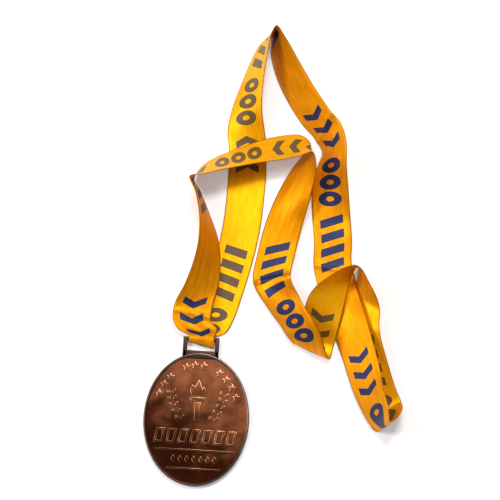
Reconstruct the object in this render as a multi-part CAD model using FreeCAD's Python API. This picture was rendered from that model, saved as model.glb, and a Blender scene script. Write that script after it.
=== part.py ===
import FreeCAD, Part
import os
from math import cos, pi, radians, sin

# Finisher medal on a neck ribbon, lying on a flat surface.
# Millimetres, +Z up. The origin is the centre of the medal's flat back, +Y runs up the medal
# towards its lug, and the surface that everything lies on is z = 0.
#
# The medal is one oval casting: a disc with a raised rim, a recessed field with raised work
# on it, and a rectangular lug on top. The ribbon is one flat strip, sewn into a loop with a
# lap seam, that passes through the lug and lies in loose folds beyond it. It is modelled in
# spans, one from each fold to the next.

V = FreeCAD.Vector

# ---- driving dimensions: the casting ----
medal_width = 55.0
medal_height = 70.0
medal_thickness = 3.2
rim_width = 1.2
rim_height = 0.65          # how far the rim stands above the field
rim_round = 0.6            # rounding of the disc's outer edges
relief_height = 0.55       # how far the raised work stands above the field
relief_root = 0.3          # how far the raised work is sunk into the field
drawn_width = 55.0         # the raised work below is drawn for a medal of this width and
drawn_height = 70.0        # height, and is stretched with the medal's own

# ---- driving dimensions: the lug ----
bar_diameter = 2.2         # the lug's top bar, which the ribbon wraps
post_width = 2.2
slot_height = 5.1          # free height between the bar and the foot of the lug
foot_height = 1.2          # solid foot between the disc's top and the slot
foot_sink = 3.0            # how far the lug's foot runs into the disc

# ---- driving dimensions: the ribbon ----
ribbon_width = 20.0
ribbon_thickness = 0.5
gathered_width = 13.4      # the ribbon is gathered where it passes through the slot
wrap_clearance = 0.3       # between the bar and the ribbon around it
slot_side_gap = 0.5        # between the gathered ribbon and each post
wrap_floor_gap = 0.15      # under the ribbon where it passes below the bar
wrap_tail = 1.4            # straight lead of the ribbon past the bar, above and below
laid_width = 20.0          # the route below is for a ribbon this wide, and grows with it
lap_length = 8.0           # overlap of the two sewn ends
lap_gap = 0.05

# ---- driving dimensions: the stitches of the lap seam ----
stitch_length = 1.5
stitch_width = 0.35
stitch_height = 0.2
stitches_per_row = 7
stitch_margin = 2.0        # from the ribbon's edge to the first stitch

# ---- worked out from the above ----
half_width = medal_width / 2
half_height = medal_height / 2
field_z = medal_thickness - rim_height
bar_radius = bar_diameter / 2
slot_width = gathered_width + 2 * slot_side_gap
lug_width = slot_width + 2 * post_width
bar_z = wrap_floor_gap + ribbon_thickness + wrap_clearance + bar_radius
bar_y = half_height + foot_height + slot_height + bar_radius
wrap_radius = bar_radius + wrap_clearance + ribbon_thickness / 2
spread = ribbon_width / laid_width
stretch_x = medal_width / drawn_width
stretch_y = medal_height / drawn_height

# ---- the ribbon's route ----
# Each row is one line across the strip: the place of its middle as x and y from the middle
# of the lug's bar, the height of its lower edge above the surface, the direction of the line
# in plan, and its lean (both in degrees). The line runs from the strip's first edge to its
# second edge, and a positive lean raises the second edge. Each list runs on from the end of
# the one before, and its last row is the fold or the standing turn that ends the span.
front_leg = [
    (-2.0, 4.6, 4.2, 4, 0),
    (-5.6, 9.6, 4.4, 0, 0),
    (-5.2, 17.8, 3.8, 0, -4),
    (-1.6, 29.0, 2.2, 12, -25),
    (0.4, 43.0, 1.4, 22, -46),
    (0.2, 53.0, 1.0, 28, -58),
    (-2.6, 65.5, 0.8, 46, -70),
    (-6.8, 77.5, 0.8, 62, -76),
    (-10.4, 84.4, 0.8, 62, -79),
]
cross_span = [
    (-5.4, 89.0, 0.9, 96, -64),
    (3.0, 93.2, 1.6, 104, -55),
    (13.4, 97.0, 2.2, 105, -49),
    (24.5, 101.0, 2.6, 100, -42),
    (34.8, 103.8, 3.0, 94, -37),
    (45.5, 105.4, 2.8, 86, -42),
    (51.6, 103.8, 2.4, 98, -64),
]
middle_span = [
    (50.2, 97.4, 2.4, 140, -58),
    (47.4, 90.0, 2.2, 164, -44),
    (43.4, 78.0, 1.8, 172, -26),
    (39.6, 65.2, 1.6, 182, -8),
    (36.4, 49.0, 1.6, 183, -4),
    (34.8, 34.0, 1.8, 190, -10),
    (41.0, 22.0, 1.8, 204, -36),
    (47.0, 13.0, 2.2, 204, -44),
    (53.0, 4.6, 2.8, 192, -40),
    (57.8, -3.0, 1.2, 158, -6),
]
rising_span = [
    (59.4, 3.4, 0.8, 166, 0),
    (61.6, 13.0, 3.8, 168, 8),
    (64.4, 24.4, 6.0, 174, 22),
    (68.8, 34.0, 5.6, 198, 42),
    (78.7, 42.0, 0.5, 256, 80),
]
under_span = [
    (82.6, 34.2, 0.3, 316, 64),
    (83.6, 24.8, 0.3, 336, 30),
    (83.4, 9.8, 0.4, 354, 28),
    (87.6, -6.6, 0.4, 2, 16),
    (92.6, -21.6, 0.4, 12, 8),
    (96.8, -31.4, 0.4, 24, 8),
    (99.2, -37.6, 0.6, 36, 34),
]
neck_span = [
    (98.8, -40.6, 0.8, 28, 62),
    (96.9, -41.6, 1.4, 20, 72),
    (94.4, -36.6, 2.2, 40, 58),
    (90.4, -28.0, 2.6, 36, 48),
    (87.0, -18.4, 2.4, 28, 39),
    (83.6, -8.0, 1.8, 26, 34),
    (80.0, 2.6, 1.0, 26, 31),
    (75.6, 14.4, 0.7, 26, 23),
    (71.6, 24.6, 0.7, 20, 14),
    (68.8, 34.0, 0.6, 14, 8),
    (66.1, 44.4, 0.6, 8, 4),
]
long_span = [
    (65.6, 57.0, 0.6, 6, 4),
    (64.0, 70.4, 0.6, 6, 4),
    (62.6, 83.6, 0.6, 2, 16),
    (62.6, 96.0, 0.6, 0, 40),
    (63.4, 106.0, 0.6, 10, 52),
    (59.8, 114.4, 0.6, 24, 46),
    (51.8, 123.4, 0.6, 28, 44),
    (43.8, 134.8, 0.6, 28, 46),
    (36.2, 147.8, 0.6, 30, 52),
    (30.6, 159.4, 0.6, 36, 64),
    (27.6, 167.0, 0.6, 20, 80),
]
far_leg = [
    (24.2, 163.0, 0.6, -20, 76),
    (21.6, 154.8, 0.6, -24, 66),
    (18.2, 139.4, 0.6, -8, 54),
    (16.0, 124.8, 0.7, -2, 37),
    (16.4, 113.0, 0.7, 4, 9),
]
lap = (17.8, 103.0, 0.75, 6, 0)
lap_heading = -86.0        # the strip's own direction where its two ends are sewn together
back_leg = [
    (18.3, 92.0, 0.2, 4, 0),
    (18.2, 81.4, 0.2, 4, 0),
    (17.2, 63.0, 0.2, 2, 0),
    (14.2, 44.0, 0.2, -2, 0),
    (10.0, 26.4, 0.2, -6, 0),
    (6.4, 13.4, 0.2, -6, 0),
    (2.6, 5.4, 0.2, -5, 0),
]


# ---- helpers ----
def oval(half_x, half_y):
    """The ellipse of those half widths, as a wire at z = 0."""
    longer, shorter = max(half_x, half_y), min(half_x, half_y)
    if longer - shorter < 1e-6:
        return Part.Wire([Part.Circle(V(0, 0, 0), V(0, 0, 1), longer).toShape()])
    wire = Part.Wire([Part.Ellipse(V(0, 0, 0), longer, shorter).toShape()])
    if half_y > half_x:
        wire.rotate(V(0, 0, 0), V(0, 0, 1), 90)
    return wire


def oval_plate(half_x, half_y, low, high):
    face = Part.Face(oval(half_x, half_y))
    face.translate(V(0, 0, low))
    return face.extrude(V(0, 0, high - low))


def plate(corners, low, high):
    """A flat plate with the outline through those (x, y) corners."""
    points = [V(x, y, low) for x, y in corners]
    return Part.Face(Part.makePolygon(points + points[:1])).extrude(V(0, 0, high - low))


def raised(corners):
    """Raised work on the field, sunk a little into it so that the two are one casting."""
    fitted = [(x * stretch_x, y * stretch_y) for x, y in corners]
    return plate(fitted, field_z - relief_root, field_z + relief_height)


def turned(corners, angle, x, y):
    """The corners turned about (0, 0) by an angle in degrees, then moved to (x, y)."""
    c, s = cos(radians(angle)), sin(radians(angle))
    return [(x + c * px - s * py, y + s * px + c * py) for px, py in corners]


def box(x0, x1, y0, y1, z0, z1):
    return Part.makeBox(x1 - x0, y1 - y0, z1 - z0, V(x0, y0, z0))


# ---- the casting's raised work ----
def star(points, outer, inner):
    """A star's outline, one point upwards."""
    corners = []
    for i in range(2 * points):
        radius = inner if i % 2 else outer
        angle = pi / 2 + pi * i / points
        corners.append((radius * cos(angle), radius * sin(angle)))
    return corners


def star_row():
    """An arc of stars that follows the rim over the top of the medal, in three groups."""
    places, gaps, start, end = 12, (4, 8), 26.0, 154.0
    reach, outer, inner = 0.81, 2.6, 1.15
    pieces = []
    for i in range(places):
        if i in gaps:
            continue
        angle = radians(start + (end - start) * i / (places - 1))
        x = reach * drawn_width / 2 * cos(angle)
        y = reach * drawn_height / 2 * sin(angle)
        pieces.append(raised(turned(star(5, outer, inner), 0, x, y)))
    return pieces


def torch():
    """The middle motif: a tapered handle, a bowl and a flame of three tongues."""
    handle = [(-1.0, -1.0), (1.0, -1.0), (1.9, 9.0), (-1.9, 9.0)]
    bowl = [(-3.4, 9.4), (3.4, 9.4), (4.2, 11.6), (-4.2, 11.6)]
    flame = [(-3.4, 12.2), (3.4, 12.2), (4.4, 15.4), (2.6, 17.6), (2.2, 16.2), (0.2, 21.4),
             (-1.6, 17.0), (-3.2, 18.4), (-4.2, 15.2)]
    return [raised(outline) for outline in (handle, bowl, flame)]


def laurel(side):
    """A branch of paired leaves beside the torch. side is -1 on the left and 1 on the right."""
    pieces = []
    leaf = [(0, 0.6), (0.8, 1.6), (0.7, 2.8), (0, 3.8), (-0.7, 2.8), (-0.8, 1.6)]
    for i in range(5):
        x = side * (8.6 + 4.6 * sin(radians(22 * i)))
        y = -1.0 + 3.3 * i
        for spread in (-42, 42):
            corners = turned(leaf, spread - side * (10 + 6 * i) * 0.5, x, y)
            pieces.append(raised(corners))
    return pieces


def title_band():
    """A row of seven slanted frames across the middle, where a title would stand."""
    width, pitch, low, high, slant, stroke = 4.8, 6.2, -13.2, -5.4, 1.2, 1.2
    pieces = []
    for i in range(-3, 4):
        x = i * pitch - (width + slant) / 2
        lean = slant * stroke / (high - low)
        outer = [(x, low), (x + width, low), (x + width + slant, high), (x + slant, high)]
        inner = [(x + stroke + lean, low + stroke), (x + width - stroke + lean, low + stroke),
                 (x + width - stroke + slant - lean, high - stroke),
                 (x + stroke + slant - lean, high - stroke)]
        pieces.append(raised(outer).cut(raised(inner)))
    return pieces


def rules_and_lozenges():
    """Two straight rules with a row of lozenges between them."""
    pieces = []
    for y, half_length in ((-16.4, 20.4), (-26.2, 14.0)):
        pieces.append(raised([(-half_length, y - 0.55), (half_length, y - 0.55),
                              (half_length, y + 0.55), (-half_length, y + 0.55)]))
    lozenge = [(0, -2.2), (1.3, 0), (0, 2.2), (-1.3, 0)]
    for i in range(-3, 4):
        pieces.append(raised(turned(lozenge, 0, i * 3.6, -21.2)))
    return pieces


# ---- the casting ----
def lug():
    """A rectangular frame: a foot in the disc, two posts and a round bar across the top."""
    low, high = bar_z - bar_radius, bar_z + bar_radius
    foot_y = half_height - foot_sink
    slot_floor = half_height + foot_height
    foot = box(-lug_width / 2, lug_width / 2, foot_y, slot_floor, low, high)
    posts = []
    for side in (-1, 1):
        inner = side * slot_width / 2
        outer = side * lug_width / 2
        posts.append(box(min(inner, outer), max(inner, outer), foot_y, bar_y, low, high))
    bar = Part.makeCylinder(bar_radius, lug_width, V(-lug_width / 2, bar_y, bar_z), V(1, 0, 0))
    return foot.multiFuse(posts + [bar])


def medal_casting():
    disc = oval_plate(half_width, half_height, 0, medal_thickness)
    disc = disc.makeFillet(rim_round, disc.Edges)
    recess = oval_plate(half_width - rim_width, half_height - rim_width,
                        field_z, medal_thickness + 1)
    disc = disc.cut(recess)
    work = star_row() + torch() + laurel(-1) + laurel(1) + title_band() + rules_and_lozenges()
    outside = oval_plate(half_width + 20, half_height + 20, field_z, medal_thickness + 1)
    lug_outside_field = lug().cut(recess.common(outside))
    return disc.multiFuse(work + [lug_outside_field]).removeSplitter()


# ---- the ribbon ----
def across(turn, lean):
    """The unit vector across the strip, from its first edge to its second."""
    t, k = radians(turn), radians(lean)
    return V(cos(k) * cos(t), cos(k) * sin(t), sin(k))


def middle(station, width):
    """The middle of one line across the strip, above the surface by its lower edge's height."""
    x, y, lift, _, lean = station
    rise = lift * spread + ribbon_thickness / 2 + width / 2 * abs(sin(radians(lean)))
    return V(x * spread, bar_y + y * spread, rise)


def wrap_end(z):
    """A line across the gathered strip where it leaves the bar, above or below it."""
    return (V(0, bar_y + wrap_tail, z), V(1, 0, 0), gathered_width)


def lines(stations):
    return [(middle(s, ribbon_width), across(s[3], s[4]), ribbon_width) for s in stations]


def section(rows, i):
    """The rectangle of the strip's thickness around line i, square to the way it runs there."""
    centre, side, width = rows[i]
    ahead = rows[min(i + 1, len(rows) - 1)][0] - rows[max(i - 1, 0)][0]
    normal = side.cross(ahead)
    normal.normalize()
    half = side * (width / 2)
    thick = normal * (ribbon_thickness / 2)
    return [centre - half - thick, centre + half - thick,
            centre + half + thick, centre - half + thick]


def side_face(near, far, i):
    """The face between one side of a section's rectangle and the same side of the next."""
    face = Part.BezierSurface()
    face.setPole(1, 1, near[i])
    face.setPole(1, 2, near[i - 1])
    face.setPole(2, 1, far[i])
    face.setPole(2, 2, far[i - 1])
    return face.toShape()


def strip(sections):
    """The solid of one span, ruled straight from each section's corners to the next's."""
    faces = [Part.Face(Part.makePolygon(end + end[:1])) for end in (sections[0], sections[-1])]
    for near, far in zip(sections, sections[1:]):
        faces += [side_face(near, far, i) for i in range(len(near))]
    shell = Part.makeShell(faces)
    shell.sewShape()
    span = Part.makeSolid(shell)
    if span.Volume < 0:
        span.reverse()
    return span


def bar_wrap():
    """The gathered ribbon around the bar: a half turn with a short lead above and below."""
    inner = wrap_radius - ribbon_thickness / 2
    outer = wrap_radius + ribbon_thickness / 2
    x = -gathered_width / 2

    def at(y, z):
        return V(x, bar_y + y, bar_z + z)

    outline = Part.Wire([
        Part.Arc(at(0, -outer), at(-outer, 0), at(0, outer)).toShape(),
        Part.LineSegment(at(0, outer), at(wrap_tail, outer)).toShape(),
        Part.LineSegment(at(wrap_tail, outer), at(wrap_tail, inner)).toShape(),
        Part.LineSegment(at(wrap_tail, inner), at(0, inner)).toShape(),
        Part.Arc(at(0, inner), at(-inner, 0), at(0, -inner)).toShape(),
        Part.LineSegment(at(0, -inner), at(wrap_tail, -inner)).toShape(),
        Part.LineSegment(at(wrap_tail, -inner), at(wrap_tail, -outer)).toShape(),
        Part.LineSegment(at(wrap_tail, -outer), at(0, -outer)).toShape(),
    ])
    return Part.Face(outline).extrude(V(gathered_width, 0, 0))


def lap_line(along, lift):
    """A line across the strip in the lap, that far along from its middle."""
    x, y, _, turn, lean = lap
    heading = radians(lap_heading)
    reach = along / spread
    return (x + reach * cos(heading), y + reach * sin(heading), lift / spread, turn, lean)


def lap_stitching():
    """Two rows of straight stitches across the lap, on its upper side."""
    x, y, lift, turn, _ = lap
    top = lift * spread + ribbon_thickness
    usable = ribbon_width - 2 * stitch_margin
    stitches = []
    for row in (-1, 1):
        for i in range(stitches_per_row):
            along = -usable / 2 + usable * (i + 0.5) / stitches_per_row
            stitch = box(along - stitch_length / 2, along + stitch_length / 2,
                         row * lap_length / 4 - stitch_width / 2,
                         row * lap_length / 4 + stitch_width / 2, top, top + stitch_height)
            stitch.rotate(V(0, 0, 0), V(0, 0, 1), turn)
            stitch.translate(V(x * spread, bar_y + y * spread, 0))
            stitches.append(stitch)
    return Part.makeCompound(stitches)


def ribbon_spans():
    """Every span of the strip, from the bar out along the front and home along the back."""
    start, end = -lap_length / 2, lap_length / 2
    upper_lift = lap[2] * spread
    lower_lift = upper_lift - ribbon_thickness - lap_gap
    upper_end = [lap_line(start, upper_lift), lap_line(end, upper_lift)]
    lower_end = [lap_line(start, lower_lift), lap_line(end, lower_lift)]
    outward = {
        "ribbon_front_leg": front_leg,
        "ribbon_cross_span": cross_span,
        "ribbon_middle_span": middle_span,
        "ribbon_rising_span": rising_span,
        "ribbon_under_span": under_span,
        "ribbon_neck_span": neck_span,
        "ribbon_long_span": long_span,
        "ribbon_far_leg": far_leg + upper_end,
    }
    rows = [wrap_end(bar_z + wrap_radius)]
    for stations in outward.values():
        rows += lines(stations)
    sections = [section(rows, i) for i in range(len(rows))]
    spans = {"ribbon_bar_wrap": bar_wrap()}
    first = 0
    for name, stations in outward.items():
        last = first + len(stations)
        spans[name] = strip(sections[first:last + 1])
        first = last
    rows = lines(lower_end + back_leg) + [wrap_end(bar_z - wrap_radius)]
    spans["ribbon_back_leg"] = strip([section(rows, i) for i in range(len(rows))])
    return spans


nodes = {"medal_casting": medal_casting(), "lap_stitching": lap_stitching()}
nodes.update(ribbon_spans())

os.makedirs("parts", exist_ok=True)
for name, shape in nodes.items():
    shape.exportStep("parts/" + name + ".step")
    low = shape.BoundBox.ZMin
    print(f"{name}: {len(shape.Solids)} solids, {shape.Volume:.0f} mm3, valid {shape.isValid()},"
          f" lowest {low:.2f}, highest {shape.BoundBox.ZMax:.2f}")
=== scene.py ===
# %% [markdown]
# # A finisher medal on a satin neck ribbon
# The object is a cast oval medal and one long strip of satin ribbon, sewn into a loop, that
# passes through the medal's lug and lies in loose folds. This first cell loads the measured
# model that everything is fitted to.

from math import atan, cos, exp, pi, radians, sin

import bmesh
import bpy
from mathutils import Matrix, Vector


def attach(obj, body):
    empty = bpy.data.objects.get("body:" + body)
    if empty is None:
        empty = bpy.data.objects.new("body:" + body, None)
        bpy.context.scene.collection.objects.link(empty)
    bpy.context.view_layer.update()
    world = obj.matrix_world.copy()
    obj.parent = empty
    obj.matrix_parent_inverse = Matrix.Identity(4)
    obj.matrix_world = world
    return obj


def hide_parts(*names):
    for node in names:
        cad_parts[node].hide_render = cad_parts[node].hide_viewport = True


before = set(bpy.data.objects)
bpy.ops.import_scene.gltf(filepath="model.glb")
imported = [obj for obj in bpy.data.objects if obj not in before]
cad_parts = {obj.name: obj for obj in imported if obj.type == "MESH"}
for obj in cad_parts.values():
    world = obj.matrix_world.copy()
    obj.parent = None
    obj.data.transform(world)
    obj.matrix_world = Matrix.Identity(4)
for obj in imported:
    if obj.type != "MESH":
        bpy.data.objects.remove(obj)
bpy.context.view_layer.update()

# %% [markdown]
# ## Sizes
# The sizes are the measured model's own, in millimetres. The medal's flat back lies on z = 0
# with its centre at the origin, and +Y runs up to the lug. The ribbon's sizes are those of a
# common 20 mm medal ribbon.

# %% Sizes
MM = 0.001
medal_width, medal_height = 55.0, 70.0
field_z, relief_top = 2.55, 3.1
bar_y, bar_z, bar_radius = 42.4, 2.05, 1.1
post_width, slot_width, foot_top = 2.2, 14.4, 36.2
ribbon_width, ribbon_thickness, gathered_width = 20.0, 0.5, 13.4
wrap_radius, wrap_tail = 1.65, 1.4
lap_length, lap_gap = 8.0, 0.05
half_width, half_height = medal_width / 2, medal_height / 2
lug_width = slot_width + 2 * post_width
print("lug", lug_width, "mm wide, wrap radius", wrap_radius, "mm")

# %% [markdown]
# ## Small tools for meshes
# Every piece is made in a bmesh and turned into an object here. The mesh is written in
# metres in the shared frame, so the finished object stays at the origin, unturned.

# %% Mesh tools
def finished(name, bm, materials, body, smooth_angle=35.0):
    """Turns a bmesh in millimetres into a piece that rides on a body."""
    bmesh.ops.scale(bm, vec=(MM, MM, MM), verts=bm.verts)
    mesh = bpy.data.meshes.new(name)
    bm.to_mesh(mesh)
    bm.free()
    piece = bpy.data.objects.new(name, mesh)
    bpy.context.scene.collection.objects.link(piece)
    for material in materials:
        mesh.materials.append(material)
    mesh.shade_smooth()
    mesh.set_sharp_from_angle(angle=radians(smooth_angle))
    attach(piece, body)
    print(name, len(mesh.polygons), "faces")
    return piece


def surface(columns, rows, place):
    """A grid of that many faces, each corner put where place(column, row) says."""
    bm = bmesh.new()
    bmesh.ops.create_grid(bm, x_segments=columns, y_segments=rows, size=1)
    for v in bm.verts:
        column = round((v.co.x + 1) / 2 * columns)
        row = round((v.co.y + 1) / 2 * rows)
        v.co = place(column, row)
    return bm


def add_plate(bm, corners, low, high, round_by, hole=None, edge_material=0):
    """A flat plate with that outline, and a hole if given, its upper edges rounded off."""
    outer = [bm.verts.new((x, y, low)) for x, y in corners]
    if hole is None:
        base = [bm.faces.new(outer)]
    else:
        inner = [bm.verts.new((x, y, low)) for x, y in hole]
        count = len(outer)
        base = [bm.faces.new((outer[i], outer[(i + 1) % count],
                              inner[(i + 1) % count], inner[i])) for i in range(count)]
    made = bmesh.ops.extrude_face_region(bm, geom=base)["geom"]
    bmesh.ops.translate(bm, verts=[g for g in made if isinstance(g, bmesh.types.BMVert)],
                        vec=(0, 0, high - low))
    tops = {g for g in made if isinstance(g, bmesh.types.BMFace)}
    rims = {e for face in tops for e in face.edges
            if any(other not in tops for other in e.link_faces)}
    rounded = bmesh.ops.bevel(bm, geom=list(rims), offset=round_by, segments=3, profile=0.5,
                              affect="EDGES", material=-1, clamp_overlap=True)
    for face in rounded["faces"]:
        face.material_index = edge_material
    for face in tops:
        if face.is_valid:
            face.material_index = edge_material


def turned(corners, angle, x, y):
    """The corners turned by an angle in degrees, then moved to (x, y)."""
    c, s = cos(radians(angle)), sin(radians(angle))
    return [(x + c * px - s * py, y + s * px + c * py) for px, py in corners]


# %% [markdown]
# ## Small tools for materials
# The finishes are built from shader nodes. This helper keeps that short: math() adds one
# sum, and the rest are the few shapes that the finishes need.

# %% Material tools
class Finish:
    """A node material, with short calls for the sums in it."""

    def __init__(self, name):
        self.material = bpy.data.materials.new(name)
        self.material.use_nodes = True
        self.tree = self.material.node_tree
        self.shader = self.tree.nodes["Principled BSDF"]

    def node(self, kind, **inputs):
        made = self.tree.nodes.new(kind)
        for key, value in inputs.items():
            self.put(made.inputs[key.replace("_", " ")], value)
        return made

    def put(self, socket, value):
        if isinstance(value, bpy.types.NodeSocket):
            self.tree.links.new(value, socket)
        else:
            socket.default_value = value

    def math(self, operation, a, b=0.0, c=0.0):
        made = self.tree.nodes.new("ShaderNodeMath")
        made.operation = operation
        for socket, value in zip(made.inputs, (a, b, c)):
            self.put(socket, value)
        return made.outputs[0]

    def between(self, x, low, high):
        """1 where x is between low and high, and 0 elsewhere."""
        return self.math("MULTIPLY", self.math("GREATER_THAN", x, low),
                         self.math("LESS_THAN", x, high))

    def ramp(self, x, low, high):
        """0 below low, 1 above high, and smooth between them."""
        made = self.node("ShaderNodeMapRange", Value=x, From_Min=low, From_Max=high)
        made.interpolation_type = "SMOOTHSTEP"
        return made.outputs["Result"]

    def mix(self, share, a, b):
        made = self.tree.nodes.new("ShaderNodeMix")
        made.data_type = "RGBA"
        self.put(made.inputs["Factor"], share)
        self.put(made.inputs["A"], a)
        self.put(made.inputs["B"], b)
        return made.outputs["Result"]

    def noise(self, where, scale, detail=3.0):
        return self.node("ShaderNodeTexNoise", Vector=where, Scale=scale,
                         Detail=detail).outputs["Fac"]

    def bump(self, height, distance, strength=1.0):
        made = self.node("ShaderNodeBump", Height=height, Distance=distance,
                         Strength=strength)
        self.put(self.shader.inputs["Normal"], made.outputs["Normal"])


# %% [markdown]
# ## Antique copper
# Antique copper is a plated casting that is darkened all over and then polished, so the
# recessed field stays dark brown and the rounded edges of the raised work come out bright.
# Its colour is painted lighter towards the upper right, as painted light, and broken up by noise.
# The edges, the rim and the lug each have their own dark and light colours.

# %% Antique copper
def antique_copper(name, dark, middle, rough_low, rough_high, grain_depth=0.00008):
    """A darkened copper, painted lighter towards the medal's upper right as painted light, and blotched by
    noise.
    """
    finish = Finish(name)
    where = finish.node("ShaderNodeTexCoord").outputs["Object"]
    parts = finish.node("ShaderNodeSeparateXYZ", Vector=where).outputs
    blotch = finish.noise(where, 130.0)
    grain = finish.noise(where, 2600.0)
    # Painted light: the colour grows lighter towards +Y and +X, the medal's upper right, with noise blotches
    # added.
    painted_light_and_blotch = finish.math("MULTIPLY_ADD", parts["Y"], 14.0,
                       finish.math("MULTIPLY", parts["X"], 6.0))
    painted_light_and_blotch = finish.math("ADD", finish.math("ADD", painted_light_and_blotch, 0.32), finish.math(
        "MULTIPLY", finish.math("SUBTRACT", blotch, 0.5), 1.1))
    finish.put(finish.shader.inputs["Base Color"],
               finish.mix(finish.ramp(painted_light_and_blotch, 0.0, 1.0), dark, middle))
    finish.put(finish.shader.inputs["Roughness"], finish.math(
        "MULTIPLY_ADD", grain, rough_high - rough_low, rough_low))
    finish.shader.inputs["Metallic"].default_value = 1.0
    finish.bump(finish.math("MULTIPLY_ADD", blotch, 1.5, grain), grain_depth, 0.7)
    return finish.material


field_copper = antique_copper("field_copper", (0.022, 0.005, 0.002, 1),
                              (0.23, 0.074, 0.030, 1), 0.28, 0.50)
edge_copper = antique_copper("edge_copper", (0.26, 0.100, 0.045, 1),
                             (0.86, 0.46, 0.27, 1), 0.24, 0.40)
rim_copper = antique_copper("rim_copper", (0.085, 0.045, 0.034, 1),
                            (0.22, 0.155, 0.135, 1), 0.22, 0.36)
lug_copper = antique_copper("lug_copper", (0.020, 0.010, 0.008, 1),
                            (0.050, 0.028, 0.023, 1), 0.34, 0.50)
print("finishes:", field_copper.name, edge_copper.name, rim_copper.name, lug_copper.name)

# %% [markdown]
# ## The casting's disc
# The disc is turned from one half profile: flat back, rounded outer edge, raised rim and a
# sunken field. Each ring of the profile is an ellipse, drawn in from the outline by the
# same distance all the way round, so the rim keeps one width. A spun profile would be
# round, which is why the rings are mapped here instead.

# %% The disc
disc_profile = [(6.0, 0.0), (0.6, 0.0), (0.3, 0.08), (0.08, 0.3), (0.0, 0.6), (0.0, 1.6),
                (0.0, 2.6), (0.08, 2.9), (0.3, 3.12), (0.6, 3.2), (0.8, 3.17), (1.0, 3.06),
                (1.15, 2.86), (1.26, 2.68), (1.45, 2.58), (1.8, 2.55), (6.0, 2.55)]
ring_steps = 192


def disc_point(column, row):
    inset, z = disc_profile[row]
    angle = 2 * pi * column / ring_steps
    return ((half_width - inset) * cos(angle), (half_height - inset) * sin(angle), z)


medal_bm = surface(ring_steps, len(disc_profile) - 1, disc_point)
for face in medal_bm.faces:
    reach = face.calc_center_median()
    on_rim = (reach.x / (half_width - 1.1)) ** 2 + (reach.y / (half_height - 1.1)) ** 2 > 1
    face.material_index = 2 if on_rim and reach.z > 0.1 else 0
bmesh.ops.remove_doubles(medal_bm, verts=medal_bm.verts, dist=0.001)
for rim_z in (0.0, field_z):
    ends = [e for e in medal_bm.edges if e.is_boundary
            and abs(e.verts[0].co.z - rim_z) < 0.01]
    bmesh.ops.holes_fill(medal_bm, edges=ends)
print("disc:", len(medal_bm.faces), "faces")

# %% [markdown]
# ## The casting's raised work
# Ten stars follow the rim in three groups, a torch stands between two laurel branches, seven
# slanted frames make a title band, and a row of lozenges lies between two rules. Each is a plate
# that stands a little out of the field with its upper edges rounded, as casting leaves them.

# %% Raised work
def raised(corners, hole=None):
    add_plate(medal_bm, corners, field_z - 0.1, relief_top, 0.26, hole, 1)


for i in range(12):
    if i in (4, 8):
        continue
    angle = radians(26.0 + 128.0 * i / 11)
    points = []
    for k in range(10):
        reach = 1.15 if k % 2 else 2.6
        points.append((reach * cos(pi / 2 + pi * k / 5), reach * sin(pi / 2 + pi * k / 5)))
    raised(turned(points, 0, 0.81 * half_width * cos(angle), 0.81 * half_height * sin(angle)))

raised([(-1.0, -1.0), (1.0, -1.0), (1.9, 9.0), (-1.9, 9.0)])
raised([(-3.4, 9.4), (3.4, 9.4), (4.2, 11.6), (-4.2, 11.6)])
raised([(-3.4, 12.2), (3.4, 12.2), (4.4, 15.4), (2.6, 17.6), (2.2, 16.2), (0.2, 21.4),
        (-1.6, 17.0), (-3.2, 18.4), (-4.2, 15.2)])

leaf = [(0, 0.6), (0.8, 1.6), (0.7, 2.8), (0, 3.8), (-0.7, 2.8), (-0.8, 1.6)]
for side in (-1, 1):
    for i in range(5):
        x = side * (8.6 + 4.6 * sin(radians(22 * i)))
        for spread in (-42, 42):
            raised(turned(leaf, spread - side * (10 + 6 * i) * 0.5, x, -1.0 + 3.3 * i))

for i in range(-3, 4):
    x = i * 6.2 - 3.0
    raised([(x, -13.2), (x + 4.8, -13.2), (x + 6.0, -5.4), (x + 1.2, -5.4)],
           [(x + 1.38, -12.0), (x + 3.78, -12.0), (x + 4.62, -6.6), (x + 2.22, -6.6)])
for y, half_length in ((-16.4, 20.4), (-26.2, 14.0)):
    raised([(-half_length, y - 0.55), (half_length, y - 0.55),
            (half_length, y + 0.55), (-half_length, y + 0.55)])
for i in range(-3, 4):
    raised(turned([(0, -2.2), (1.3, 0), (0, 2.2), (-1.3, 0)], 0, i * 3.6, -21.2))
bmesh.ops.recalc_face_normals(medal_bm, faces=medal_bm.faces)
disc = finished("medal_disc", medal_bm, [field_copper, edge_copper, rim_copper], "medal")
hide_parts("medal_casting")

# %% [markdown]
# ## The lug
# The lug is a small frame on top of the disc: a solid foot, two posts and a round bar that
# the ribbon wraps. It is bevelled, because sharp cast corners would catch no light.

# %% The lug
lug_bm = bmesh.new()
low, high = bar_z - bar_radius, bar_z + bar_radius
foot_y = half_height - 3.0
left, right = -lug_width / 2, lug_width / 2
add_plate(lug_bm, [(left, foot_y), (right, foot_y), (right, foot_top), (left, foot_top)],
          low, high, 0.35)
for x0, x1 in ((left, left + post_width), (right - post_width, right)):
    add_plate(lug_bm, [(x0, foot_y), (x1, foot_y), (x1, bar_y + bar_radius * 0.9),
                       (x0, bar_y + bar_radius * 0.9)], low, high, 0.4)
bar = bmesh.ops.create_cone(lug_bm, cap_ends=True, segments=32, radius1=bar_radius,
                            radius2=bar_radius, depth=lug_width - 0.1)["verts"]
for v in bar:
    v.co = Vector((v.co.z, v.co.x + bar_y, v.co.y + bar_z))
bmesh.ops.recalc_face_normals(lug_bm, faces=lug_bm.faces)
lug = finished("medal_lug", lug_bm, [lug_copper], "medal")

# %% [markdown]
# ## The ribbon's route
# Each row is one line across the strip: the place of its middle as x and y from the middle
# of the lug's bar, the height of its lower edge, the direction of the line in plan, and its
# lean. The lines are the same as the measured model's, so the cloth lies where its simple
# solids do. The strip starts at the lap seam, runs home along the back, round the bar, and
# out along the front to the lap again.

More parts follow.
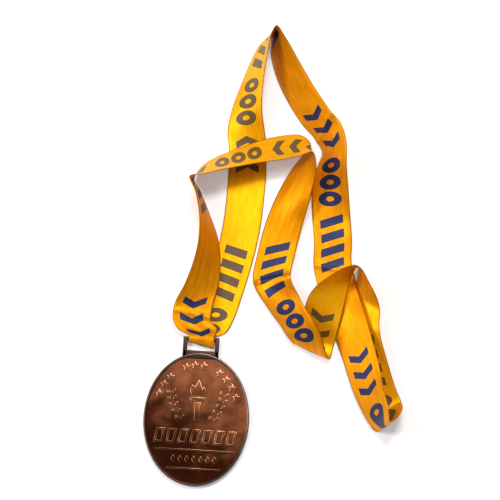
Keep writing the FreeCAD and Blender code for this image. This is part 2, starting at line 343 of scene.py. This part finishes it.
# %% The route
front_leg = [
    (-2.0, 4.6, 4.2, 4, 0), (-5.6, 9.6, 4.4, 0, 0), (-5.2, 17.8, 3.8, 0, -4),
    (-1.6, 29.0, 2.2, 12, -25), (0.4, 43.0, 1.4, 22, -46), (0.2, 53.0, 1.0, 28, -58),
    (-2.6, 65.5, 0.8, 46, -70), (-6.8, 77.5, 0.8, 62, -76), (-10.4, 84.4, 0.8, 62, -79)]
cross_span = [
    (-5.4, 89.0, 0.9, 96, -64), (3.0, 93.2, 1.6, 104, -55), (13.4, 97.0, 2.2, 105, -49),
    (24.5, 101.0, 2.6, 100, -42), (34.8, 103.8, 3.0, 94, -37), (45.5, 105.4, 2.8, 86, -42),
    (51.6, 103.8, 2.4, 98, -64)]
middle_span = [
    (50.2, 97.4, 2.4, 140, -58), (47.4, 90.0, 2.2, 164, -44), (43.4, 78.0, 1.8, 172, -26),
    (39.6, 65.2, 1.6, 182, -8), (36.4, 49.0, 1.6, 183, -4), (34.8, 34.0, 1.8, 190, -10),
    (41.0, 22.0, 1.8, 204, -36), (47.0, 13.0, 2.2, 204, -44), (53.0, 4.6, 2.8, 192, -40),
    (57.8, -3.0, 1.2, 158, -6)]
rising_span = [
    (59.4, 3.4, 0.8, 166, 0), (61.6, 13.0, 3.8, 168, 8), (64.4, 24.4, 6.0, 174, 22),
    (68.8, 34.0, 5.6, 198, 42), (78.7, 42.0, 0.5, 256, 80)]
under_span = [
    (82.6, 34.2, 0.3, 316, 64), (83.6, 24.8, 0.3, 336, 30), (83.4, 9.8, 0.4, 354, 28),
    (87.6, -6.6, 0.4, 362, 16), (92.6, -21.6, 0.4, 372, 8), (96.8, -31.4, 0.4, 384, 8),
    (99.2, -37.6, 0.6, 396, 34)]
neck_span = [
    (98.8, -40.6, 0.8, 28, 62), (96.9, -41.6, 1.4, 20, 72), (94.4, -36.6, 2.2, 40, 58),
    (90.4, -28.0, 2.6, 36, 48), (87.0, -18.4, 2.4, 28, 39), (83.6, -8.0, 1.8, 26, 34),
    (80.0, 2.6, 1.0, 26, 31), (75.6, 14.4, 0.7, 26, 23), (71.6, 24.6, 0.7, 20, 14),
    (68.8, 34.0, 0.6, 14, 8), (66.1, 44.4, 0.6, 8, 4)]
long_span = [
    (65.6, 57.0, 0.6, 6, 4), (64.0, 70.4, 0.6, 6, 4), (62.6, 83.6, 0.6, 2, 16),
    (62.6, 96.0, 0.6, 0, 40), (63.4, 106.0, 0.6, 10, 52), (59.8, 114.4, 0.6, 24, 46),
    (51.8, 123.4, 0.6, 28, 44), (43.8, 134.8, 0.6, 28, 46), (36.2, 147.8, 0.6, 30, 52),
    (30.6, 159.4, 0.6, 36, 64), (27.6, 167.0, 0.6, 20, 80)]
far_leg = [
    (24.2, 163.0, 0.6, -20, 76), (21.6, 154.8, 0.6, -24, 66), (18.2, 139.4, 0.6, -8, 54),
    (16.0, 124.8, 0.7, -2, 37), (16.4, 113.0, 0.7, 4, 9)]
back_leg = [
    (18.3, 92.0, 0.2, 4, 0), (18.2, 81.4, 0.2, 4, 0), (17.2, 63.0, 0.2, 2, 0),
    (14.2, 44.0, 0.2, -2, 0), (10.0, 26.4, 0.2, -6, 0), (6.4, 13.4, 0.2, -6, 0),
    (2.6, 5.4, 0.2, -5, 0)]
lap_x, lap_y, lap_lift, lap_turn, lap_heading = 17.8, 103.0, 0.75, 6, -86.0


def station(x, y, lift, turn, lean, width=ribbon_width):
    """One line across the strip as its middle, its half line and its width."""
    t, k = radians(turn), radians(lean)
    half = Vector((cos(k) * cos(t), cos(k) * sin(t), sin(k))) * (width / 2)
    return Vector((x, bar_y + y, lift + ribbon_thickness / 2 + abs(half.z))), half


def lap_station(along, lift):
    a = radians(lap_heading)
    return station(lap_x + along * cos(a), lap_y + along * sin(a), lift, lap_turn, 0)


def wrap_stations():
    """The gathered strip's lines round the bar, from below it to above it. The strip is
    snug at its first edge and a little slack at its second."""
    half = Vector((gathered_width / 2, 0, 0))
    made = [(Vector((0, bar_y + wrap_tail, bar_z - wrap_radius)), half)]
    for i in range(9):
        a = pi * i / 8
        slack = Vector((0, -1.5 * sin(a) ** 2, 0))
        made.append((Vector((0, bar_y - wrap_radius * sin(a),
                             bar_z - wrap_radius * cos(a))) + slack, half + slack))
    made.append((Vector((0, bar_y + wrap_tail, bar_z + wrap_radius)), half))
    return made


lower_lift = lap_lift - ribbon_thickness - lap_gap
route = [lap_station(-lap_length / 2, lower_lift), lap_station(lap_length / 2, lower_lift)]
route += [station(*row) for row in back_leg]
marks = {"back_leg": 0, "wrap": len(route)}
route += wrap_stations()
for title, rows in (("front_leg", front_leg), ("cross_span", cross_span),
                    ("middle_span", middle_span), ("rising_span", rising_span),
                    ("under_span", under_span), ("neck_span", neck_span),
                    ("long_span", long_span), ("far_leg", far_leg)):
    marks[title] = len(route)
    route += [station(*row) for row in rows]
marks["lap"] = len(route)
route += [lap_station(-lap_length / 2, lap_lift), lap_station(lap_length / 2, lap_lift)]
print("route:", len(route), "lines")

# %% [markdown]
# ## One smooth strip
# Each edge of the strip is a smooth curve through its own ends of the lines, and straight
# lines join the two edges. Cloth bends far more easily than it stretches, so it takes this
# ruled shape by itself. The curves are read off about every millimetre.

# %% Smooth edges
def smooth_curve(points):
    """A centripetal curve through the points: calling it with (span, share) gives a place."""
    padded = [2 * points[0] - points[1]] + points + [2 * points[-1] - points[-2]]
    knots = [0.0]
    for a, b in zip(padded, padded[1:]):
        knots.append(knots[-1] + max((b - a).length, 1e-4) ** 0.5)

    def at(span, share):
        p, k = padded[span:span + 4], knots[span:span + 4]
        t = k[1] + (k[2] - k[1]) * share
        row = [p[i] * ((k[i + 1] - t) / (k[i + 1] - k[i]))
               + p[i + 1] * ((t - k[i]) / (k[i + 1] - k[i])) for i in range(3)]
        row = [row[i] * ((k[i + 2] - t) / (k[i + 2] - k[i]))
               + row[i + 1] * ((t - k[i]) / (k[i + 2] - k[i])) for i in range(2)]
        return row[0] * ((k[2] - t) / (k[2] - k[1])) + row[1] * ((t - k[1]) / (k[2] - k[1]))

    return at


first_edge = smooth_curve([middle - half for middle, half in route])
second_edge = smooth_curve([middle + half for middle, half in route])
ribbon_lines, run_at_line = [], []
run, last = 0.0, None
for span in range(len(route) - 1):
    reach = max((first_edge(span, 1) - first_edge(span, 0)).length,
                (second_edge(span, 1) - second_edge(span, 0)).length)
    steps = max(2, round(reach / 0.9))
    run_at_line.append(run)
    for i in range(steps + (span == len(route) - 2)):
        a, b = first_edge(span, i / steps), second_edge(span, i / steps)
        middle = (a + b) / 2
        if last is not None:
            run += (middle - last).length
        last = middle
        if i == 0:
            run_at_line[-1] = run
        ribbon_lines.append((a, b, run))
starts = {title: round(run_at_line[min(i, len(run_at_line) - 1)], 1)
          for title, i in marks.items()}

# %% [markdown]
# ## Gathers and creases
# Where the strip is drawn into the lug it forms soft pleats that die away from the bar, and
# it keeps sharp creases where it was once folded flat. Both are small moves of the cloth
# along its own normal.

# %% Gathers and creases
wrap_run = (starts["wrap"] + starts["front_leg"]) / 2
creases = [(starts["front_leg"] + 9.5, -3.0, 0.9, 1.0),
           (starts["middle_span"] + 67.0, 1.0, 1.0, 1.0),
           (starts["neck_span"] + 92.0, -7.0, 0.8, 1.0),
           (starts["long_span"] + 62.0, 10.0, 0.6, 1.6)]
ribbon_columns = 20


def relief(share, run):
    """How far the cloth stands off its ruled shape there, in millimetres."""
    away = abs(run - wrap_run)
    pleats = 0.0
    if away > 4.5:
        pleats = 0.5 * min(1, (away - 4.5) / 4) * exp(-(away - 4.5) / 9)
    height = pleats * cos(2 * pi * (2.5 * share + 0.12))
    for place, skew, rise, reach in creases:
        height += rise * exp(-abs(run - place - skew * (share - 0.5)) / reach)
    curl = 0.35 * (1 - (2 * share - 1) ** 2) * min(1, away / 25)
    return height + curl


def ribbon_point(column, row):
    a, b, run = ribbon_lines[row]
    before, after = ribbon_lines[max(row - 1, 0)], ribbon_lines[min(row + 1, len(ribbon_lines) - 1)]
    ahead = (after[0] + after[1]) - (before[0] + before[1])
    normal = (b - a).cross(ahead).normalized()
    share = column / ribbon_columns
    return a.lerp(b, share) + normal * relief(share, run)


ribbon_bm = surface(ribbon_columns, len(ribbon_lines) - 1, ribbon_point)
strip_uv = ribbon_bm.loops.layers.uv.new("strip")
print("ribbon grid:", len(ribbon_bm.verts), "corners")

# %% [markdown]
# ## Cloth coordinates
# The strip's own coordinates are its width and its length in metres. The print, the weave
# and the dark edge band all follow them, whichever way the cloth is folded. In the plain
# stretches between printed phrases the length is eased, because a printed ribbon's repeat is
# never quite even.

# %% Cloth coordinates
print_drift = [(0, 0), (109, 0), (123, 5), (150, 5), (185, 0), (285, 0), (322, -10),
               (425, -10), (475, -36), (535, -36), (550, -46), (590, -46), (625, -52),
               (900, -52)]


def cloth_run(run):
    """The place along the woven strip, eased between the printed phrases."""
    for (r0, d0), (r1, d1) in zip(print_drift, print_drift[1:]):
        if run <= r1:
            return run + d0 + (d1 - d0) * (run - r0) / (r1 - r0)


ribbon_bm.verts.ensure_lookup_table()
columns_per_row = ribbon_columns + 1
for face in ribbon_bm.faces:
    for loop in face.loops:
        index = loop.vert.index
        row, column = divmod(index, columns_per_row)
        loop[strip_uv].uv = (MM * ribbon_width * column / ribbon_columns,
                             MM * cloth_run(ribbon_lines[row][2]))
print("first corner:", [round(c, 1) for c in ribbon_bm.verts[0].co])

# %% [markdown]
# ## Satin
# Satin is woven with long floating threads, so it shines in long soft bands. Its colour is
# also painted lighter in long streaks and darker between them, as painted sheen. The print is
# dark blue on the face and shows through the back as olive, mirrored. It is three groups of
# plain marks, repeated along the strip: chevrons, rings and slanted bars.

# %% Satin
phrase_length = 131.0
mark_half_height = 6.1


def print_marks(finish, across, along):
    """1 where the strip is printed. A phrase of marks reads from its start back along the
    strip, and repeats."""
    t = finish.math("MODULO", finish.math("SUBTRACT", print_start + 10 * phrase_length, along), phrase_length)
    q = finish.math("SUBTRACT", across, ribbon_width / 2)
    q_abs = finish.math("ABSOLUTE", q)
    tall = finish.math("LESS_THAN", q_abs, mark_half_height)

    def local(start, pitch):
        shifted = finish.math("SUBTRACT", t, start)
        return finish.math("SUBTRACT", finish.math("MODULO", shifted, pitch), pitch / 2)

    arm = finish.math("MULTIPLY", q_abs, 0.5)
    chevron = finish.math("ABSOLUTE", finish.math(
        "ADD", finish.math("SUBTRACT", local(0, 9.0), 1.5), arm))
    chevrons = finish.math("MULTIPLY", finish.between(t, 0, 27.0),
                           finish.math("LESS_THAN", chevron, 1.9))
    x = local(31.0, 8.9)
    radius = finish.math("SQRT", finish.math("MULTIPLY_ADD", x, x, finish.math(
        "MULTIPLY", finish.math("MULTIPLY", q, q), 0.42)))
    rings = finish.math("MULTIPLY", finish.between(t, 31.0, 57.7),
                        finish.between(radius, 1.35, 4.0))
    slant = finish.math("ABSOLUTE", finish.math(
        "MULTIPLY_ADD", q, 0.25, local(61.5, 7.8)))
    bars = finish.math("MULTIPLY", finish.between(t, 61.5, 92.7),
                       finish.math("LESS_THAN", slant, 2.3))
    every = finish.math("MAXIMUM", finish.math("MAXIMUM", chevrons, rings), bars)
    return finish.math("MULTIPLY", every, tall)


def satin(name, cloth, painted_streak_shade, ink, ink_share):
    finish = Finish(name)
    uv = finish.tree.nodes.new("ShaderNodeUVMap")
    uv.uv_map = "strip"
    parts = finish.node("ShaderNodeSeparateXYZ", Vector=uv.outputs["UV"])
    across = finish.math("MULTIPLY", parts.outputs["X"], 1000.0)
    along = finish.math("MULTIPLY", parts.outputs["Y"], 1000.0)
    stretch = finish.node("ShaderNodeCombineXYZ", X=finish.math("MULTIPLY", across, 0.45),
                          Y=finish.math("MULTIPLY", along, 0.09))
    weave_streaks_and_sheen = finish.noise(stretch.outputs["Vector"], 1.0, 4.0)
    # A dark brown band, 0.4 mm wide, along both long edges of the strip.
    dark_edge_band = finish.math("LESS_THAN", finish.math(
        "SUBTRACT", ribbon_width / 2, finish.math("ABSOLUTE", finish.math(
            "SUBTRACT", across, ribbon_width / 2))), 0.4)
    # Painted sheen: the base colour turns to the darker painted streak shade in long streaks along the strip.
    body = finish.mix(finish.ramp(weave_streaks_and_sheen, 0.25, 0.75), cloth, painted_streak_shade)
    body = finish.mix(finish.math("MULTIPLY", dark_edge_band, 0.7), body, (0.20, 0.05, 0.001, 1))
    marked = finish.math("MULTIPLY", print_marks(finish, across, along), ink_share)
    finish.put(finish.shader.inputs["Base Color"], finish.mix(marked, body, ink))
    finish.put(finish.shader.inputs["Metallic"], finish.math(
        "MULTIPLY", finish.math("SUBTRACT", 1.0, marked), satin_metallic))
    finish.put(finish.shader.inputs["Specular Tint"],
               finish.mix(marked, (1.0, 0.62, 0.06, 1), (0.45, 0.5, 0.9, 1)))
    finish.put(finish.shader.inputs["Roughness"], finish.math(
        "ADD", satin_roughness, finish.math("MULTIPLY", weave_streaks_and_sheen, 0.08)))
    finish.shader.inputs["Anisotropic"].default_value = 0.6
    ribs = finish.math("SINE", finish.math("MULTIPLY", along, 2 * pi / 0.5))
    threads = finish.math("SINE", finish.math("MULTIPLY", across, 2 * pi / 0.3))
    weave = finish.math("ADD", finish.math("MULTIPLY", ribs, threads),
                        finish.math("MULTIPLY", weave_streaks_and_sheen, 2.0))
    finish.bump(weave, 0.00002, 0.5)
    tangent = finish.tree.nodes.new("ShaderNodeTangent")
    tangent.direction_type = "UV_MAP"
    tangent.uv_map = "strip"
    finish.put(finish.shader.inputs["Tangent"], tangent.outputs["Tangent"])
    return finish.material


print_start = starts["front_leg"] + 156.0
satin_metallic, satin_roughness = 0.45, 0.36
# Each side's second colour is painted shade for the dark streaks between the sheen.
satin_face = satin("satin_face", (0.78, 0.28, 0.002, 1), (0.60, 0.19, 0.001, 1),
                   (0.011, 0.014, 0.050, 1), 1.0)
satin_back = satin("satin_back", (0.95, 0.44, 0.004, 1), (0.82, 0.34, 0.003, 1),
                   (0.070, 0.050, 0.010, 1), 0.94)
print("satin:", satin_face.name, satin_back.name)

# %% [markdown]
# ## The ribbon as cloth
# The strip gets its thickness from Solidify, which keeps the face and the back as separate
# sides with their own colours.

# %% The ribbon
ribbon = finished("neck_ribbon", ribbon_bm, [satin_face, satin_back], "ribbon", 60.0)
thickness = ribbon.modifiers.new("thickness", "SOLIDIFY")
thickness.thickness = MM * 0.4
thickness.offset = 0.0
thickness.material_offset = 1
thickness.use_rim = True
span_nodes = sorted(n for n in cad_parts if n.startswith("ribbon_"))
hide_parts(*span_nodes)
print("stands for", len(span_nodes), "spans")

# %% [markdown]
# ## The lap seam's stitches
# Two rows of straight stitches hold the two ends of the ribbon together. Each stitch is a
# short rounded bead of thread, pressed into the cloth.

# %% Stitches
def thread_finish():
    finish = Finish("sewing_thread")
    finish.shader.inputs["Base Color"].default_value = (0.72, 0.36, 0.02, 1)
    finish.shader.inputs["Roughness"].default_value = 0.5
    return finish.material


stitch_bm = bmesh.new()
for row in (-1, 1):
    for i in range(7):
        made = bmesh.ops.create_icosphere(stitch_bm, subdivisions=2, radius=1.0)["verts"]
        bmesh.ops.scale(stitch_bm, vec=(0.75, 0.18, 0.16), verts=made)
        bmesh.ops.translate(stitch_bm, vec=(-8 + 16 * (i + 0.5) / 7, row * lap_length / 4, 0),
                            verts=made)
c, s = cos(radians(lap_turn)), sin(radians(lap_turn))
for v in stitch_bm.verts:
    x, y, z = v.co
    v.co = (lap_x + c * x - s * y, bar_y + lap_y + s * x + c * y,
            lap_lift + ribbon_thickness + z)
stitches = finished("lap_stitches", stitch_bm, [thread_finish()], "ribbon", 180.0)
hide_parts("lap_stitching")

# %% [markdown]
# ## Floor and light
# The object lies on a plain pale floor. One large soft light stands high behind it, a
# smaller one to the left, and the sky fills the rest, so the satin shows long highlights
# and the folds keep soft shadows.

# %% Floor and light
floor_bm = bmesh.new()
bmesh.ops.create_grid(floor_bm, x_segments=1, y_segments=1, size=3.0)
floor_mesh = bpy.data.meshes.new("floor")
floor_bm.to_mesh(floor_mesh)
floor_bm.free()
floor = bpy.data.objects.new("floor", floor_mesh)
bpy.context.scene.collection.objects.link(floor)
paper = Finish("pale_floor")
paper.shader.inputs["Base Color"].default_value = (0.93, 0.93, 0.93, 1)
paper.shader.inputs["Roughness"].default_value = 0.9
paper.shader.inputs["Emission Color"].default_value = (1.0, 1.0, 1.0, 1)
paper.shader.inputs["Emission Strength"].default_value = 0.18
floor_mesh.materials.append(paper.material)


def soft_light(name, place, target, size, power, colour=(1, 1, 1)):
    light = bpy.data.lights.new(name, "AREA")
    light.shape = "RECTANGLE"
    light.size, light.size_y = size
    light.energy = power
    light.color = colour
    holder = bpy.data.objects.new(name, light)
    bpy.context.scene.collection.objects.link(holder)
    holder.location = place
    aim = Vector(target) - Vector(place)
    holder.rotation_euler = aim.to_track_quat("-Z", "Y").to_euler()
    return holder


middle_of_object = (0.04, 0.09, 0.0)
soft_light("high_softbox", (0.15, 0.75, 1.25), middle_of_object, (0.5, 0.35), 12.0)
soft_light("side_softbox", (-0.85, 0.15, 0.95), middle_of_object, (0.45, 0.45), 9.0)
sky = bpy.data.worlds.new("studio")
sky.use_nodes = True
sky.node_tree.nodes["Background"].inputs["Color"].default_value = (1.0, 1.0, 1.0, 1)
sky.node_tree.nodes["Background"].inputs["Strength"].default_value = 0.42
bpy.context.scene.world = sky
bpy.context.scene.view_settings.view_transform = "Standard"

# %% [markdown]
# ## The camera
# The camera stands well back with a long lens and looks down at the table from the medal's
# end, about 77 degrees above the surface, so the folds keep their true shapes.

# %% The camera
camera = bpy.data.objects.new("camera", bpy.data.cameras.new("camera"))
bpy.context.scene.collection.objects.link(camera)
elevation, turn, distance, picture_width = radians(77), radians(3.5), 1.6, 0.2632
target = Vector((0.0223, 0.0922, 0.0))
back = Vector((sin(turn) * cos(elevation), -cos(turn) * cos(elevation), sin(elevation)))
camera.location = target + back * distance
camera.rotation_mode = "QUATERNION"
camera.rotation_quaternion = (-back).to_track_quat("-Z", "Y")
camera.data.sensor_width = 36.0
camera.data.angle = 2 * atan(picture_width / 2 / distance)
camera.data.clip_start, camera.data.clip_end = 0.05, 20.0
bpy.context.scene.camera = camera
print("camera at", [round(x, 3) for x in camera.location])
